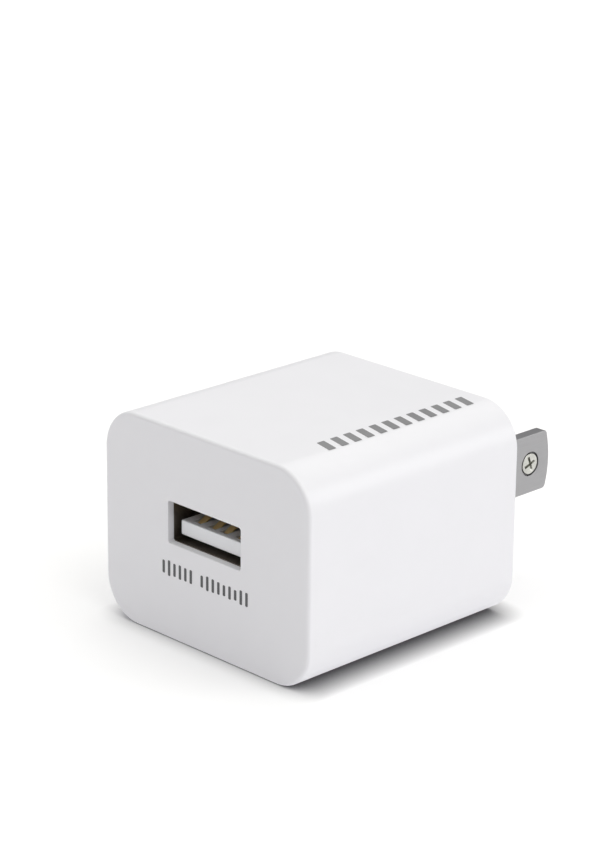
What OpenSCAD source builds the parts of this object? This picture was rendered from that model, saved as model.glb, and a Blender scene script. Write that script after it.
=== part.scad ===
// A plug-in USB wall charger, lying on its underside.
// Origin: middle of the face that meets the wall outlet. +Y points into the outlet, +Z is up.

/* [Case] */
// Width of the case, left to right
case_w = 35; // [33:0.5:40]
// Height of the case
case_h = 27; // [26:0.5:32]
// Depth of the case, socket face to wall face
case_d = 35; // [34:0.5:40]
// Corner radius of the case, seen from the front
case_r = 5.4; // [4:0.1:7]
// Wall thickness of the case's sides
case_wall = 2; // [1.6:0.1:2.2]
// Thickness of the front wall, round the socket
front_wall = 1.4; // [1.2:0.1:1.4]
// Rounding of the rim around the front face
front_round = 0.5; // [0.3:0.05:0.8]
// Clearance of the moulded parts in each other
fit_gap = 0.1; // [0.05:0.01:0.15]

/* [Blades] */
// Distance between the middles of the two blades
blade_pitch = 12.7; // [12.6:0.05:12.8]
// Width of the right blade, the wide one that goes to neutral
wide_blade_w = 7.8; // [7.8:0.05:7.95]
// Width of the left blade, the narrow one that goes to live
narrow_blade_w = 6.35; // [6.2:0.05:6.5]
// Thickness of a blade
blade_t = 1.5; // [1.4:0.05:1.6]
// Length of a blade outside the case
blade_out = 18.1; // [15.9:0.1:18.2]
// Distance of a blade's hole from the wall face
blade_hole_y = 14.6; // [11:0.1:14.6]
// Diameter of a blade's hole at its face
blade_hole_d = 3.15; // [2.8:0.05:3.3]

/* [USB socket] */
// Height of the socket's middle above the case's middle
usb_z = 1.5; // [1:0.1:2]
// Width of the window in the front face
window_w = 12.5; // [12.3:0.1:12.8]
// Height of the window in the front face
window_h = 5.3; // [5.1:0.1:5.4]
// Depth of the window's lip in front of the metal shield
window_lip = 0.95; // [0.8:0.05:1.1]
// Outer width of the metal shield
shield_w = 13.1; // [13:0.05:13.2]
// Outer height of the metal shield
shield_h = 5.72; // [5.6:0.02:5.8]
// Sheet thickness of the metal shield
shield_t = 0.3; // [0.25:0.05:0.3]

/* [Circuit board] */
// Thickness of the circuit board
board_t = 1.2; // [1:0.1:1.6]
// Diameter of an electrolytic capacitor with its sleeve
cap_d = 8; // [6.3:0.1:8]

/* [Hidden] */
CAPACITORS = ["input_capacitor_1", "input_capacitor_2", "output_capacitor_1", "output_capacitor_2"];
$fn = 64;
slight = 0.01;       // overshoot of a cut past the face it opens
touch_gap = 0.02;    // gap between hard parts that only just clear each other

// Case, worked out from the driving sizes
front_y = -case_d;
inner_w = case_w - 2 * case_wall;
inner_h = case_h - 2 * case_wall;
inner_r = case_r - case_wall;
inner_front_y = front_y + front_wall;
rebate_wall = 1.1;
rebate_d = 1.8;
cover_round = 0.3;
skirt_t = 1;
skirt_end_y = -4.6;
snap_y = -3.6;
snap_w = 5;
snap_h = 0.8;
snap_reach = 0.5;
rib_spots = [-22.6, -7.6];
rib_w = 1.8;
rib_reach = 1.2;
rib_h = 1;

// Circuit board: it lies on top of the socket, and the tall parts hang from it
shield_top = usb_z + shield_h / 2;
board_z = shield_top + 0.04;
board_top = board_z + board_t;
board_w = inner_w - 0.6;
board_front_y = inner_front_y + 0.4;
board_rear_y = -5;
lead_r = 0.3;
lead_hole_r = 0.45;
lead_top = board_top + 0.9;

// Blades
blade_x = blade_pitch / 2;
function blade_w(side) = side > 0 ? wide_blade_w : narrow_blade_w;
blade_tip_r = 13;
blade_corner_r = 0.6;
blade_shoulder = 0.4;
blade_root_y = -8.1;
boss_w = 4.6;
terminal_y = -7.2;
terminal_w = 1.8;
terminal_t = 0.4;
terminal_x = blade_x - blade_t / 2 - terminal_t / 2 - touch_gap;
screw_head_d = 2.75;
screw_shank_d = 2.3;
screw_head_t = 0.45;

// Socket
shield_front_y = front_y + window_lip;
shield_rear_y = -20.4;
opening_w = shield_w - 2 * shield_t;
opening_h = shield_h - 2 * shield_t;
tongue_w = 11.1;
tongue_t = 1.84;
tongue_z = usb_z - opening_h / 2 + 0.76;
tongue_top = tongue_z + tongue_t;
tongue_front_y = front_y + 1.5;
base_front_y = -25;
base_rear_y = -20.2;
contact_x = [-3.5, -1, 1, 3.5];
contact_w = 1;
contact_t = 0.2;
groove_w = 1.24;
groove_floor = tongue_top - 0.95;
beam_root = [-25.4, 0.95];           // y and z of the flexing root of a contact
beam_crest = [-30.6, tongue_top + 0.34];
beam_tip = [-32.2, tongue_top - 0.32];
tail_y = -19.3;
leaf_x = 2.9;
leaf_w = 1.9;
leaf_t = 0.25;
leaf_root_y = -26.2;
leaf_length = 4.2;
leaf_dip = 0.6;
leaf_slot = 0.25;

// Transformer, hung behind the socket
transformer = [0, -13.9];
core_w = 12.4;
core_d = 5;
core_t = 2.4;
core_h = 11.2;
core_top = board_z - 1.4;

// Electrolytic capacitors: [x, y, length]
cap_spots = [[-11, -15.3, 13], [11, -15.3, 13], [-11, -28, 12], [11, -28, 12]];
cap_sleeve_t = 0.15;
bung_t = 0.8;
cap_lead_pitch = 3.5;

/* ---------- shared shapes ---------- */

module rounded_rect(w, h, r) {
    square([w - 2 * r, h], center = true);
    square([w, h - 2 * r], center = true);
    for (x = [-1, 1], z = [-1, 1])
        translate([x * (w / 2 - r), z * (h / 2 - r)]) circle(r = r);
}

// Extrudes a drawing of X and Z from y0 to y1
module along_y(y0, y1) {
    translate([0, y1, 0]) rotate([90, 0, 0]) linear_extrude(y1 - y0) children();
}

// Extrudes a drawing of Y and Z by t, centred on x
module across_x(x, t) {
    translate([x - t / 2, 0, 0]) rotate([90, 0, 90]) linear_extrude(t) children();
}

module block(x, y, z) {
    translate([x[0], y[0], z[0]]) cube([x[1] - x[0], y[1] - y[0], z[1] - z[0]]);
}

module centred_block(c, size) {
    translate([c[0] - size[0] / 2, c[1] - size[1] / 2, c[2]]) cube(size);
}

module upright(x, y, z0, z1, r) {
    translate([x, y, z0]) cylinder(h = z1 - z0, r = r);
}

// A quarter-round rim section: the rim's outside is at x = r, its face at y = 0
module rim_section(r, e) {
    square([r - e, e]);
    intersection() {
        translate([r - e, e]) circle(r = e);
        translate([r - e, 0]) square(e);
    }
}

// The first e millimetres of a rounded slab, with a quarter-round rim. Its face is at z = 0
module soft_face(w, h, r, e) {
    cx = w / 2 - r;
    cy = h / 2 - r;
    for (side = [0, 1]) {
        mirror([side, 0, 0]) {
            translate([cx, cy, 0]) rotate_extrude(angle = 90) rim_section(r, e);
            translate([cx, -cy, 0]) rotate([0, 0, -90]) rotate_extrude(angle = 90) rim_section(r, e);
            translate([cx, cy, 0]) rotate([90, 0, 0]) linear_extrude(2 * cy) rim_section(r, e);
        }
        mirror([0, side, 0])
            translate([-cx, cy, 0]) rotate([90, 0, 90]) linear_extrude(2 * cx) rim_section(r, e);
    }
    translate([-cx, -cy, 0]) cube([2 * cx, 2 * cy, e]);
}

// A slab from y0 to y1 with a soft rim at y0
module soft_slab(w, h, r, e, y0, y1) {
    along_y(y0 + e, y1) rounded_rect(w, h, r);
    translate([0, y0, 0]) rotate([-90, 0, 0]) soft_face(w, h, r, e);
}

/* ---------- case ---------- */

module board_ribs() {
    for (side = [-1, 1], y = rib_spots, z = [board_z - rib_h - touch_gap, board_top + touch_gap])
        centred_block([side * (inner_w / 2 - rib_reach / 2 + slight), y, z],
                      [rib_reach + 2 * slight, rib_w, rib_h]);
}

module main_shell() {
    color("white") {
        difference() {
            soft_slab(case_w, case_h, case_r, front_round, front_y, 0);
            along_y(inner_front_y, slight) rounded_rect(inner_w, inner_h, inner_r);
            along_y(-rebate_d, slight)
                rounded_rect(case_w - 2 * rebate_wall, case_h - 2 * rebate_wall, case_r - rebate_wall);
            centred_block([0, front_y, usb_z - window_h / 2], [window_w, 3 * case_wall, window_h]);
            block([-shield_w / 2 - fit_gap, shield_w / 2 + fit_gap], [shield_front_y, inner_front_y + slight],
                  [usb_z - shield_h / 2 - fit_gap, usb_z + shield_h / 2 + fit_gap]);
            for (side = [-1, 1])
                centred_block([side * inner_w / 2, snap_y, -snap_h / 2 - fit_gap / 2 - 1],
                              [2 * snap_reach + 2 * fit_gap, 1.4, snap_w + fit_gap]);
        }
        board_ribs();
    }
}

module rear_cover() {
    cover_w = case_w - 2 * rebate_wall - 2 * fit_gap;
    cover_h = case_h - 2 * rebate_wall - 2 * fit_gap;
    cover_r = case_r - rebate_wall - fit_gap;
    skirt_w = inner_w - 2 * fit_gap;
    skirt_h = inner_h - 2 * fit_gap;
    cover_y = -rebate_d + touch_gap;
    color("white")
        difference() {
            union() {
                rotate([0, 0, 180]) soft_slab(cover_w, cover_h, cover_r, cover_round, 0, -cover_y);
                difference() {
                    along_y(skirt_end_y, cover_y + slight) rounded_rect(skirt_w, skirt_h, inner_r - fit_gap);
                    along_y(skirt_end_y - 1, cover_y)
                        rounded_rect(skirt_w - 2 * skirt_t, skirt_h - 2 * skirt_t, inner_r - skirt_t);
                }
                for (side = [-1, 1]) {
                    centred_block([side * blade_x, (skirt_end_y + cover_y) / 2, -blade_w(side) / 2 - 1.5],
                                  [boss_w, cover_y - skirt_end_y + 2 * slight, blade_w(side) + 3]);
                    centred_block([side * (skirt_w / 2), snap_y, -snap_h / 2 - 1],
                                  [2 * snap_reach, 1.2, snap_w]);
                }
            }
            for (side = [-1, 1])
                centred_block([side * blade_x, -2, -(blade_w(side) + fit_gap) / 2],
                              [blade_t + fit_gap, 12, blade_w(side) + fit_gap]);
        }
}

/* ---------- blades ---------- */

// The free end in Y and Z of a blade of width w: a shallow arc with a round at each corner
module blade_tip_outline(w) {
    far_y = blade_out - blade_tip_r;
    corner_z = w / 2 - blade_corner_r;
    corner_y = far_y + sqrt(pow(blade_tip_r - blade_corner_r, 2) - pow(corner_z, 2));
    reach = 2 * blade_tip_r;
    lean = reach * corner_z / (corner_y - far_y);
    translate([0, -w / 2]) square([corner_y, w]);
    for (side = [-1, 1]) translate([corner_y, side * corner_z]) circle(r = blade_corner_r);
    intersection() {
        translate([far_y, 0]) circle(r = blade_tip_r);
        polygon([[far_y, 0], [far_y + reach, -lean], [far_y + reach, lean]]);
    }
}

// The whole blade in Y and Z: wider behind the cover, so that it can't be pulled out
module blade_outline(w) {
    stop_w = w + 2 * blade_shoulder;
    shoulder_y = skirt_end_y - touch_gap;
    blade_tip_outline(w);
    translate([blade_root_y, -w / 2]) square([slight - blade_root_y, w]);
    translate([blade_root_y, -stop_w / 2]) square([shoulder_y - blade_root_y, stop_w]);
}

// side is 1 for the right blade and -1 for the left one
module blade(side) {
    color("silver")
        difference() {
            across_x(side * blade_x, blade_t) blade_outline(blade_w(side));
            translate([side * blade_x, blade_hole_y, 0]) rotate([0, 90, 0]) {
                cylinder(h = 2 * blade_t, r = screw_shank_d / 2, center = true);
                translate([0, 0, side * (blade_t / 2 - screw_head_t / 2 + slight)])
                    cylinder(h = screw_head_t + 2 * slight, r = blade_hole_d / 2, center = true);
            }
        }
}

// The flush screw with a cross recess that fills the blade's hole
module blade_screw(side) {
    face = blade_t / 2 - touch_gap;
    color("silver")
        translate([side * blade_x, blade_hole_y, 0]) rotate([0, side * 90, 0])
            difference() {
                union() {
                    translate([0, 0, -face]) cylinder(h = 2 * face, r = screw_shank_d / 2);
                    translate([0, 0, blade_t / 2 - screw_head_t])
                        cylinder(h = screw_head_t - touch_gap, r = screw_head_d / 2);
                }
                for (turn = [20, 110]) rotate([0, 0, turn])
                    translate([-0.95, -0.16, face - 0.4]) cube([1.9, 0.32, 1]);
            }
}

// The strip on a blade's inner side that carries the current up to the circuit board
module blade_terminal(side) {
    color("darkkhaki")
        centred_block([side * terminal_x, terminal_y, -2.2], [terminal_t, terminal_w, lead_top + 2.2]);
}

/* ---------- USB socket ---------- */

module leaf_windows() {
    for (x = [-leaf_x, leaf_x], z = [usb_z - shield_h / 2, usb_z + shield_h / 2])
        block([x - leaf_w / 2 - leaf_slot, x + leaf_w / 2 + leaf_slot],
              [leaf_root_y - leaf_length - leaf_slot, leaf_root_y],
              [z - 2 * shield_t, z + 2 * shield_t]);
}

module usb_shield() {
    leg_w = 1.6;
    leg_top = lead_top;
    color("gainsboro") {
        difference() {
            along_y(shield_front_y, shield_rear_y)
                translate([0, usb_z]) rounded_rect(shield_w, shield_h, 0.5);
            along_y(shield_front_y - 1, shield_rear_y + 1)
                translate([0, usb_z]) rounded_rect(opening_w, opening_h, 0.2);
            leaf_windows();
        }
        for (side = [-1, 1])
            block([side * (shield_w / 2 - shield_t / 2) - shield_t / 2,
                   side * (shield_w / 2 - shield_t / 2) + shield_t / 2],
                  [-23.2 - leg_w / 2, -23.2 + leg_w / 2], [usb_z, leg_top]);
    }
}

// The grooves that the contacts lie in
module contact_grooves() {
    for (x = contact_x)
        block([x - groove_w / 2, x + groove_w / 2], [beam_tip[0] - 0.6, base_rear_y + 1],
              [groove_floor, tongue_top + slight]);
}

module usb_tongue() {
    color("whitesmoke")
        difference() {
            block([-tongue_w / 2, tongue_w / 2], [tongue_front_y, base_front_y - touch_gap],
                  [tongue_z, tongue_top]);
            contact_grooves();
        }
}

// The block that carries the tongue and closes the back of the shield
module usb_base() {
    color("whitesmoke")
        difference() {
            along_y(base_front_y, base_rear_y)
                translate([0, usb_z])
                    rounded_rect(opening_w - 2 * touch_gap, opening_h - 2 * touch_gap, 0.2);
            contact_grooves();
        }
}

// A strip of metal of even thickness t along a list of [y, z] points, with round ends
module strip(points, t) {
    for (i = [0:len(points) - 2]) {
        step = points[i + 1] - points[i];
        translate(points[i]) rotate(atan2(step[1], step[0]))
            translate([0, -t / 2]) square([norm(step), t]);
    }
    for (p = points) translate(p) circle(r = t / 2);
}

// The flexing arm of a contact: it turns about beam_root as a plug presses its crest down
module contact_beam(n) {
    color("gold")
        across_x(contact_x[n - 1], contact_w)
            strip([beam_root, [-29.6, beam_crest[1] - 0.12], beam_crest, [-31.2, beam_crest[1] - 0.14],
                   beam_tip], contact_t);
}

// The fixed part of a contact, with its solder tail through the circuit board
module contact_tail(n) {
    root_y = beam_root[0] + contact_t / 2 + touch_gap;
    color("gold")
        across_x(contact_x[n - 1], contact_w - 0.2) {
            translate([root_y, beam_root[1] - contact_t / 2])
                square([tail_y - root_y + contact_t / 2, contact_t]);
            translate([tail_y - contact_t / 2, beam_root[1] - contact_t / 2])
                square([contact_t, lead_top - beam_root[1]]);
        }
}

// A leaf cut from the shield: 1 and 2 are on top, 3 and 4 below. It turns about its root as a plug enters
module shield_spring(n) {
    up = n <= 2 ? 1 : -1;
    x = (n % 2 == 1 ? -1 : 1) * leaf_x;
    skin = shield_h / 2 - shield_t / 2;
    root = leaf_root_y - leaf_t / 2 - touch_gap;
    tip = leaf_root_y - leaf_length;
    color("gainsboro")
        translate([0, 0, usb_z]) mirror([0, 0, up == 1 ? 0 : 1])
            across_x(x, leaf_w)
                strip([[root, skin], [tip + 1, skin - leaf_dip], [tip + leaf_t / 2, skin - 0.05]], leaf_t);
}

/* ---------- circuit board ---------- */

function cap_lead_spots(c) = [for (s = [-1, 1]) [c[0], c[1] + s * cap_lead_pitch / 2]];

pin_pitch = 3.2;
transformer_pin_spots = [for (x = [-1, 1], y = [-1, 1]) transformer + [x * 4.6, y * pin_pitch]];
safety_spots = [[-1.9, -6.2], [1.9, -6.2]];
fuse_spots = [[12, -8.8], [12, -6]];
choke_spots = [[-11.6, -8.9], [-11.6, -6.3]];
round_lead_spots = concat([for (c = cap_spots) each cap_lead_spots(c)],
                          transformer_pin_spots, safety_spots, fuse_spots, choke_spots);

module circuit_board() {
    color("darkgreen")
        difference() {
            block([-board_w / 2, board_w / 2], [board_front_y, board_rear_y], [board_z, board_top]);
            for (p = round_lead_spots) upright(p[0], p[1], board_z - 1, board_top + 1, lead_hole_r);
            for (x = contact_x) upright(x, tail_y, board_z - 1, board_top + 1, 0.55);
            for (side = [-1, 1]) {
                centred_block([side * terminal_x, terminal_y, board_z - 1],
                              [terminal_t + 0.2, terminal_w + 0.2, board_t + 2]);
                // room for the shield's leaves to bend outwards
                centred_block([side * leaf_x, leaf_root_y - leaf_length / 2, board_z - 1],
                              [leaf_w + 0.6, leaf_length + 0.6, board_t + 2]);
                centred_block([side * (shield_w / 2 - shield_t / 2), -23.2, board_z - 1],
                              [shield_t + 0.3, 1.9, board_t + 2]);
                for (y = [board_front_y, board_rear_y])
                    centred_block([side * board_w / 2, y, board_z - 1], [2.4, 2.4, board_t + 2]);
            }
            // isolation slot between the mains side and the output side
            centred_block([0, transformer[1], board_z - 1], [5.4, 1.2, board_t + 2]);
        }
}

// A solder cone round each wire, with the wire's own hole
module solder_joints() {
    color("silver") {
        for (p = round_lead_spots)
            translate([p[0], p[1], board_top]) difference() {
                cylinder(h = 0.6, r1 = 0.75, r2 = 0.38);
                translate([0, 0, -slight]) cylinder(h = 1, r = lead_r);
            }
        for (x = contact_x)
            translate([x, tail_y, board_top]) difference() {
                cylinder(h = 0.6, r1 = 0.85, r2 = 0.55);
                centred_block([0, 0, -slight], [contact_w - 0.2, contact_t, 1]);
            }
        for (side = [-1, 1])
            translate([side * terminal_x, terminal_y, board_top]) difference() {
                cylinder(h = 0.7, r1 = 1.45, r2 = 1.05);
                centred_block([0, 0, -slight], [terminal_t, terminal_w, 1]);
            }
    }
}

/* ---------- parts that hang from the board ---------- */

module transformer_core(upper) {
    z0 = core_top - core_h;
    split = core_top - core_h / 2;
    leg_w = 2.2;
    centre_r = 2;
    color("dimgray")
        translate([transformer[0], transformer[1], 0])
            intersection() {
                union() {
                    for (z = [z0, core_top - core_t])
                        centred_block([0, 0, z], [core_w, core_d, core_t]);
                    for (side = [-1, 1])
                        centred_block([side * (core_w - leg_w) / 2, 0, z0], [leg_w, core_d, core_h]);
                    upright(0, 0, z0, core_top, centre_r);
                }
                centred_block([0, 0, upper ? split + touch_gap / 2 : z0 - 1],
                              [core_w + 2, core_d + 2, upper ? core_h : split - z0 + 1 - touch_gap / 2]);
            }
}

module transformer_bobbin() {
    window_top = core_top - core_t - touch_gap;
    window_low = core_top - core_h + core_t + touch_gap;
    flange_w = core_w - 4.6;
    color([0.12, 0.12, 0.13])
        translate([transformer[0], transformer[1], 0])
            difference() {
                union() {
                    upright(0, 0, window_low, window_top, 2.5);
                    for (z = [window_low, window_top - 0.5])
                        centred_block([0, 0, z], [flange_w, 9, 0.5]);
                    for (side = [-1, 1])
                        centred_block([0, side * (core_d / 2 + 1.1), core_top - core_t],
                                      [core_w, 1.9, board_z - 0.1 - core_top + core_t]);
                    for (side = [-1, 1])
                        centred_block([0, side * (core_d / 2 + 1.1), window_top - 0.5], [flange_w, 1.9, 1]);
                }
                upright(0, 0, window_low - 1, window_top + 1, 2 + touch_gap);
            }
}

module transformer_coil() {
    top = core_top - core_t - 0.5 - 2 * touch_gap;
    low = core_top - core_h + core_t + 0.5 + 2 * touch_gap;
    color([0.72, 0.38, 0.2])
        difference() {
            upright(transformer[0], transformer[1], low, top, 3.4);
            upright(transformer[0], transformer[1], low - 1, top + 1, 2.5 + touch_gap);
        }
}

module transformer_tape() {
    top = core_top - core_t - 0.5 - 2 * touch_gap;
    low = core_top - core_h + core_t + 0.5 + 2 * touch_gap;
    color("gold")
        difference() {
            upright(transformer[0], transformer[1], low, top, 3.7);
            upright(transformer[0], transformer[1], low - 1, top + 1, 3.4 + touch_gap);
        }
}

module transformer_pins() {
    color("silver")
        for (p = transformer_pin_spots)
            upright(p[0], p[1], board_z - 0.1 + touch_gap, lead_top, lead_r);
}

module cap_can(c) {
    top = board_z - touch_gap;
    r = cap_d / 2 - cap_sleeve_t - touch_gap / 2;
    color("silver")
        difference() {
            upright(c[0], c[1], top - c[2], top, r);
            upright(c[0], c[1], top - bung_t, top + 1, r - 0.3);
            for (turn = [0, 90])
                translate([c[0], c[1], top - c[2]]) rotate([0, 0, turn])
                    cube([5, 0.3, 0.3], center = true);
        }
}

module cap_sleeve(c) {
    top = board_z - touch_gap;
    low = top - c[2];
    r = cap_d / 2;
    color([0.1, 0.16, 0.2])
        difference() {
            upright(c[0], c[1], low - cap_sleeve_t, top, r);
            upright(c[0], c[1], low - touch_gap / 2, top + 1, r - cap_sleeve_t);
            upright(c[0], c[1], low - 1, low + 0.1, r - 1);
        }
}

module capacitor_bungs() {
    top = board_z - touch_gap;
    color([0.15, 0.15, 0.15])
        for (c = cap_spots) difference() {
            upright(c[0], c[1], top - bung_t + slight, top - 0.1, cap_d / 2 - cap_sleeve_t - 0.3 - touch_gap);
            for (p = cap_lead_spots(c)) upright(p[0], p[1], top - 2, top + 1, lead_r);
        }
}

module capacitor_leads() {
    color("silver")
        for (c = cap_spots, p = cap_lead_spots(c))
            upright(p[0], p[1], board_z - touch_gap - bung_t + slight, lead_top, lead_r);
}

module safety_capacitor() {
    z = board_z - 5.2;
    color("royalblue") {
        translate([0, safety_spots[0][1], z]) rotate([90, 0, 0])
            cylinder(h = 2.6, r = 3.4, center = true);
        for (p = safety_spots) upright(p[0], p[1], z, lead_top, lead_r);
    }
}

module fuse_resistor() {
    top = board_z - 1.2;
    low = top - 9;
    color([0.2, 0.45, 0.35]) {
        upright(fuse_spots[0][0], fuse_spots[0][1], low, top, 1.5);
        upright(fuse_spots[0][0], fuse_spots[0][1], low - 0.9, lead_top, lead_r);
        upright(fuse_spots[1][0], fuse_spots[1][1], low - 0.9, lead_top, lead_r);
        block([fuse_spots[0][0] - lead_r, fuse_spots[0][0] + lead_r], [fuse_spots[0][1], fuse_spots[1][1]],
              [low - 0.9 - lead_r, low - 0.9 + lead_r]);
    }
}

module fuse_sleeve() {
    top = board_z - 1.2;
    low = top - 9;
    color([0.08, 0.08, 0.08])
        difference() {
            upright(fuse_spots[0][0], fuse_spots[0][1], low + 0.3, top - 0.3, 1.8);
            upright(fuse_spots[0][0], fuse_spots[0][1], low, top, 1.5 + touch_gap);
        }
}

choke_y = (choke_spots[0][1] + choke_spots[1][1]) / 2;
choke_top = board_z - 0.8;
choke_low = choke_top - 7;

module choke_core() {
    color([0.2, 0.2, 0.22]) {
        for (z = [choke_low, choke_top - 1]) upright(choke_spots[0][0], choke_y, z, z + 1, 2.4);
        upright(choke_spots[0][0], choke_y, choke_low, choke_top, 1.2);
        for (p = choke_spots) upright(p[0], p[1], choke_top - 0.5, lead_top, lead_r);
    }
}

module choke_winding() {
    color([0.72, 0.38, 0.2])
        difference() {
            upright(choke_spots[0][0], choke_y, choke_low + 1.02, choke_top - 1.02, 2.1);
            upright(choke_spots[0][0], choke_y, choke_low, choke_top, 1.2 + touch_gap);
        }
}

/* ---------- parts on top of the board ---------- */

// A moulded package with a row of feet on two sides, centred on x and y
module package(x, y, size, feet, pitch, tint) {
    z = board_top + touch_gap;
    foot_w = 0.4;
    color(tint)
        centred_block([x, y, z + 0.15], size);
    color("silver")
        for (side = [-1, 1], k = [0:feet - 1])
            centred_block([x + (k - (feet - 1) / 2) * pitch, y + side * (size[1] / 2 + 0.35), z],
                          [foot_w, 0.9, 0.4]);
}

module bridge_rectifier() { package(-7.8, -12, [4.7, 3.9, 2.4], 2, 2.5, [0.1, 0.1, 0.1]); }
module controller_chip() { package(0, -10.45, [4.9, 3.9, 1.5], 4, 1.27, [0.1, 0.1, 0.1]); }
module optocoupler() { package(10.5, -21.8, [2.6, 4.4, 2], 2, 1.27, [0.92, 0.92, 0.9]); }
module schottky_diode() { package(-10.5, -21.8, [5, 3.9, 2.3], 1, 2, [0.1, 0.1, 0.1]); }

// Chip parts: [x, y], each lying along X
resistor_spots = [[7.8, -11.2], [7.8, -13.2], [13.5, -11.4], [-13.5, -11.6], [0, -16.6],
                  [-3, -22.6], [0, -22.6], [3, -22.6]];
chip_capacitor_spots = [[-3, -25.2], [0, -25.2], [3, -25.2], [7.8, -15.2]];
chip_size = [1.3, 1.25, 0.6];
end_w = 0.35;

module chips(spots, tint) {
    color(tint)
        for (p = spots) centred_block([p[0], p[1], board_top + touch_gap], chip_size);
}

module chip_resistors() { chips(resistor_spots, [0.12, 0.12, 0.13]); }
module chip_capacitors() { chips(chip_capacitor_spots, [0.66, 0.52, 0.36]); }

module chip_terminals() {
    color("silver")
        for (p = concat(resistor_spots, chip_capacitor_spots), side = [-1, 1])
            centred_block([p[0] + side * (chip_size[0] + end_w) / 2, p[1], board_top + touch_gap],
                          [end_w, chip_size[1], chip_size[2]]);
}

module insulation_sheet() {
    half_w = 13.6;
    sheet_t = 0.2;
    z = case_h / 2 - case_wall - 0.6;
    color([0.85, 0.62, 0.25]) {
        block([-half_w, half_w], [-31.5, -6], [z - sheet_t, z]);
        for (side = [-1, 1])
            centred_block([side * (half_w - sheet_t / 2), -18.75, board_top + 1.2],
                          [sheet_t, 25.5, z - board_top - 1.2 - slight]);
    }
}

/* ---------- output ---------- */

main_shell();
rear_cover();
blade(1);  // blade_right
blade(-1);  // blade_left
blade_screw(1);  // blade_screw_right
blade_screw(-1);  // blade_screw_left
blade_terminal(1);  // blade_terminal_right
blade_terminal(-1);  // blade_terminal_left
usb_shield();
usb_tongue();
usb_base();
for (n = [1:4]) {
    contact_beam(n);
    contact_tail(n);
    shield_spring(n);
    cap_can(cap_spots[n - 1]);
    cap_sleeve(cap_spots[n - 1]);
}
circuit_board();
transformer_core(true);  // transformer_core_upper
transformer_core(false);  // transformer_core_lower
transformer_bobbin();
transformer_coil();
transformer_tape();
transformer_pins();
capacitor_bungs();
capacitor_leads();
bridge_rectifier();
controller_chip();
optocoupler();
schottky_diode();
safety_capacitor();
fuse_resistor();
fuse_sleeve();
choke_core();
choke_winding();
chip_resistors();
chip_capacitors();
chip_terminals();
solder_joints();
insulation_sheet();
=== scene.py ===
"""A plug-in USB wall charger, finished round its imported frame.

Sizes are in millimetres until a mesh is made. The origin is the middle of the face that meets the outlet:
+Y points into the outlet, +Z is up, and the socket is in the face at the -Y end.
"""

import math

import bmesh
import bpy
from mathutils import Matrix, Vector


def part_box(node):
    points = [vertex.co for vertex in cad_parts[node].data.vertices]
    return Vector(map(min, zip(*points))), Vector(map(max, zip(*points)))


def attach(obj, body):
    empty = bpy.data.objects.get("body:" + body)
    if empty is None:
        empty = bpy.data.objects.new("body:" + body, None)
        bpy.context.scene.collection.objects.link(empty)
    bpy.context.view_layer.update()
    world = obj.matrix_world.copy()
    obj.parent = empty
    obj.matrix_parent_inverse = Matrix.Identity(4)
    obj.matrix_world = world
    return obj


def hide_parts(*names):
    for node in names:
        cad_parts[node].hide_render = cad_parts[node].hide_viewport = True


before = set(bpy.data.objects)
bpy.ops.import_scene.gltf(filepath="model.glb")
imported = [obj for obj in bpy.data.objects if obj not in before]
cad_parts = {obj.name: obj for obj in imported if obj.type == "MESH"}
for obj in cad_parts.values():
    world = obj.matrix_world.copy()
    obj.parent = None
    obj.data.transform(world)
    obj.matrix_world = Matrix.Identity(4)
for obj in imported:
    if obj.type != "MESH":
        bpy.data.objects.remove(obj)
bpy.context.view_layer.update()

MM = 0.001
BODY = "charger"


def node_box(node):
    """Lowest and highest corner of a node, in millimetres."""
    low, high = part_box(node)
    return low / MM, high / MM


# ---------------------------------------------------------------- sizes, from the frame where it has them

case_low, case_high = node_box("main_shell")
CASE_W, _, CASE_H = case_high - case_low
FRONT_Y = case_low.y
CASE_R = 5.4
SIDE_WALL = 2.0
INNER_X = CASE_W / 2 - SIDE_WALL
FRONT_WALL = 1.4
FRONT_ROUND = 0.5
REAR_ROUND = 0.15
REBATE_WALL = 1.1
REBATE_D = 1.8

base_low, base_high = node_box("usb_base")
SOCKET_Z = (base_low.z + base_high.z) / 2
# openings as width, height and corner radius
WINDOW = (12.5, 5.3, 0.35)
SHIELD_POCKET = (13.3, 5.92, 0.45)
WINDOW_LIP = 0.95

cover_low, cover_high = node_box("rear_cover")
PLATE_R = 4.2
TAB_Y, TAB_Z = (-4.2, -3.0), (-1.4, 3.6)
BLADE_T = 1.5
BLADE_SIDES = {"right": 1, "left": -1}
BLADE_W = {"right": 7.8, "left": 6.35}
BLADE_X = {side: sum(node_box("blade_" + side)[k].x for k in (0, 1)) / 2 for side in BLADE_SIDES}
HOLE_Y = 14.6
HOLE_D = 3.15

board_low, board_high = node_box("circuit_board")
RAIL_Y = (-22.6, -7.6)

# ---------------------------------------------------------------- outlines


def arc(centre, r, start, end, steps):
    """Points on an arc, angles in degrees, both ends included."""
    angles = (math.radians(start + (end - start) * k / steps) for k in range(steps + 1))
    return [(centre[0] + r * math.cos(a), centre[1] + r * math.sin(a)) for a in angles]


def rounded_rect(w, h, r, centre=(0, 0), steps=20):
    """A rounded rectangle, anticlockwise, with the same number of points whatever its size."""
    points = []
    for k, (sx, sy) in enumerate([(1, 1), (-1, 1), (-1, -1), (1, -1)]):
        corner = (centre[0] + sx * (w / 2 - r), centre[1] + sy * (h / 2 - r))
        points += arc(corner, r, 90 * k, 90 * (k + 1), steps)
    return points


def ring(w, h, r, y, z=0.0, grow=0.0):
    """A rounded rectangle of X and Z at depth y, with its outline moved outwards by grow."""
    r = max(r + grow, 0.02)
    return [Vector((x, y, z_)) for x, z_ in rounded_rect(w + 2 * grow, h + 2 * grow, r, (0, z))]


# ---------------------------------------------------------------- mesh making


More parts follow.
